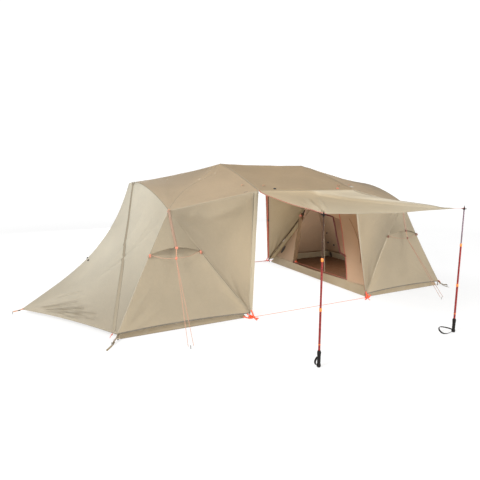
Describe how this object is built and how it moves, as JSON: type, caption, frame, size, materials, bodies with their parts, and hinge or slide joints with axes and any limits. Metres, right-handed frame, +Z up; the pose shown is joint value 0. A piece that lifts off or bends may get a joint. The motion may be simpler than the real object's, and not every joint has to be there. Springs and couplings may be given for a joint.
{
  "type": "camping tent",
  "caption": "Tunnel tent: two pods with inner rooms and long staked tails, an open porch between them, and one porch door raised as an awning on trekking poles.",
  "frame": {"origin": "on the ground, under the middle of the whole outline, awning poles and guy line stakes included", "axes": "+X along the tent from the left pod to the right pod, +Y from the awning to the far side, +Z up"},
  "size_m": [6.1584, 4.0422, 1.656],
  "materials": {
    "fly_cloth": "coated nylon, khaki, faint grid weave",
    "tail_cloth": "coated nylon, khaki, light shows through",
    "inner_cloth": "uncoated nylon, brown",
    "floor_cloth": "coated nylon, dark brown",
    "webbing": "orange-red webbing and cord",
    "pole_tube": "anodised tube, dark",
    "trekking_pole": "anodised tube, red and dark"
  },
  "bodies": {
    "root": {"awning": "fly_cloth", "porch_roof": "fly_cloth", "far_door_roll": "fly_cloth", "fly_roof_left": "fly_cloth", "fly_roof_right": "fly_cloth", "fly_side_near_left": "fly_cloth", "fly_side_near_right": "fly_cloth", "fly_side_far_left": "fly_cloth", "fly_side_far_right": "fly_cloth", "vent_hood_near_left": "fly_cloth", "vent_hood_near_right": "fly_cloth", "vent_hood_far_left": "fly_cloth", "vent_hood_far_right": "fly_cloth", "fly_tail_left": "tail_cloth", "fly_tail_right": "tail_cloth", "inner_canopy_left": "inner_cloth", "inner_canopy_right": "inner_cloth", "inner_porch_wall_left": "inner_cloth", "inner_porch_wall_right": "inner_cloth", "inner_floor_left": "floor_cloth", "inner_floor_right": "floor_cloth", "legs_near_left": "pole_tube", "legs_near_right": "pole_tube", "legs_far_left": "pole_tube", "legs_far_right": "pole_tube", "end_arch_left": "pole_tube", "end_arch_right": "pole_tube", "porch_arch_left": "pole_tube", "porch_arch_right": "pole_tube", "corner_strap_near_left": "webbing", "corner_strap_near_right": "webbing", "corner_strap_far_left": "webbing", "corner_strap_far_right": "webbing", "guy_line_near_left": "webbing", "guy_line_near_right": "webbing", "guy_line_far_left": "webbing", "guy_line_far_right": "webbing", "ground_cord_near": "webbing", "ground_cord_far": "webbing", "tail_stake_left": "webbing", "tail_stake_right": "webbing", "trekking_pole_left": "trekking_pole", "trekking_pole_right": "trekking_pole"}
  },
  "joints": []
}
